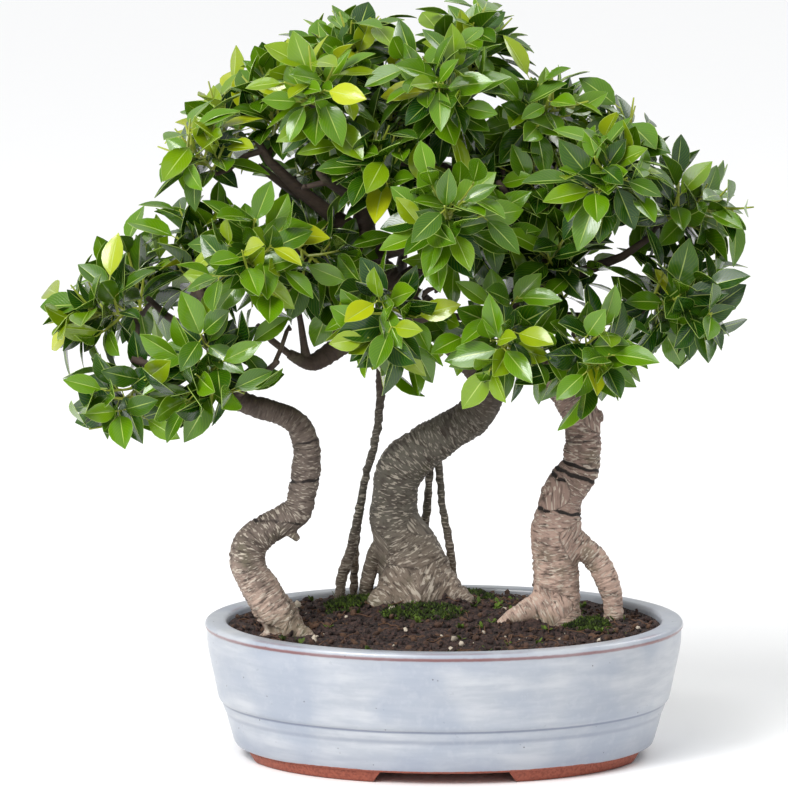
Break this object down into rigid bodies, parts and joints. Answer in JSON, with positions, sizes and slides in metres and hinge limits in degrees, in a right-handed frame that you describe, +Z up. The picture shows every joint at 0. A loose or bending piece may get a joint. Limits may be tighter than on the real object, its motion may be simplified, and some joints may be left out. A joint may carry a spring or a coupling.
{
  "type": "bonsai tree in a pot",
  "caption": "Small-leaved fig bonsai with three curved trunks under one leafy crown, in an oval pale blue-grey glazed pot.",
  "frame": {"origin": "centre of the plant's box at the surface that the pot stands on; the pot's own centre is 47 mm towards +X", "axes": "+Z up, +X along the pot's long side to the viewer's right, -Y the front"},
  "size_m": [0.5777, 0.3137, 0.6374],
  "materials": {
    "glaze": "satin glaze over red clay",
    "soil": "loose, crumbly",
    "screen": "matt",
    "bark": "rough bark",
    "leaf": "glossy",
    "moss": "matt, fibrous"
  },
  "bodies": {
    "root": {"center_tree": "bark", "drain_mesh_left": "screen", "drain_mesh_right": "screen", "left_tree": "bark", "moss_behind": "moss", "moss_front": "moss", "moss_left": "moss", "moss_right": "moss", "pot": "glaze", "right_tree": "bark", "shoot_01": "leaf", "shoot_02": "leaf", "shoot_03": "leaf", "shoot_04": "leaf", "shoot_05": "leaf", "shoot_06": "leaf", "shoot_07": "leaf", "shoot_08": "leaf", "shoot_09": "leaf", "shoot_10": "leaf", "shoot_11": "leaf", "shoot_12": "leaf", "shoot_13": "leaf", "shoot_14": "leaf", "shoot_15": "leaf", "shoot_16": "leaf", "shoot_17": "leaf", "shoot_18": "leaf", "shoot_19": "leaf", "shoot_20": "leaf", "shoot_21": "leaf", "shoot_22": "leaf", "shoot_23": "leaf", "shoot_24": "leaf", "shoot_25": "leaf", "shoot_26": "leaf", "shoot_27": "leaf", "shoot_28": "leaf", "shoot_29": "leaf", "shoot_30": "leaf", "shoot_31": "leaf", "shoot_32": "leaf", "shoot_33": "leaf", "shoot_34": "leaf", "shoot_35": "leaf", "shoot_36": "leaf", "shoot_37": "leaf", "shoot_38": "leaf", "soil": "soil"}
  },
  "joints": []
}
